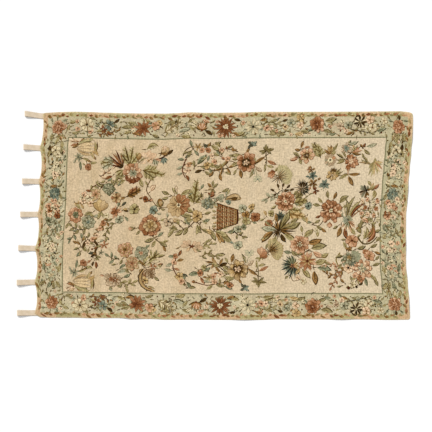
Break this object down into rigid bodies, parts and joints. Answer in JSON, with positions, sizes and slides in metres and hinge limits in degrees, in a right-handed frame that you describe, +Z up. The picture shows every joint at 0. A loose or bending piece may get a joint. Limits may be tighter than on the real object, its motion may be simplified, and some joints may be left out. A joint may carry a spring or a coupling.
{
  "type": "woven tapestry wall hanging",
  "caption": "Long woven floral tapestry hanging with a flowered border and flat tape loops along its top hem, lying face up.",
  "frame": {"origin": "middle of the outline, on the surface that the hanging lies on", "axes": "+X runs down the hanging, from the tape loops to the bottom hem; +Y runs across it; +Z is up, off its face"},
  "size_m": [2.3774, 1.2538, 0.0114],
  "materials": {
    "tapestry_cloth": "matte woven wool and cotton",
    "tape": "matte cotton tape"
  },
  "bodies": {
    "root": {"tapestry_cloth": "tapestry_cloth", "tab_loop_1": "tape", "tab_loop_2": "tape", "tab_loop_3": "tape", "tab_loop_4": "tape", "tab_loop_5": "tape", "tab_loop_6": "tape", "tab_loop_7": "tape"}
  },
  "joints": []
}
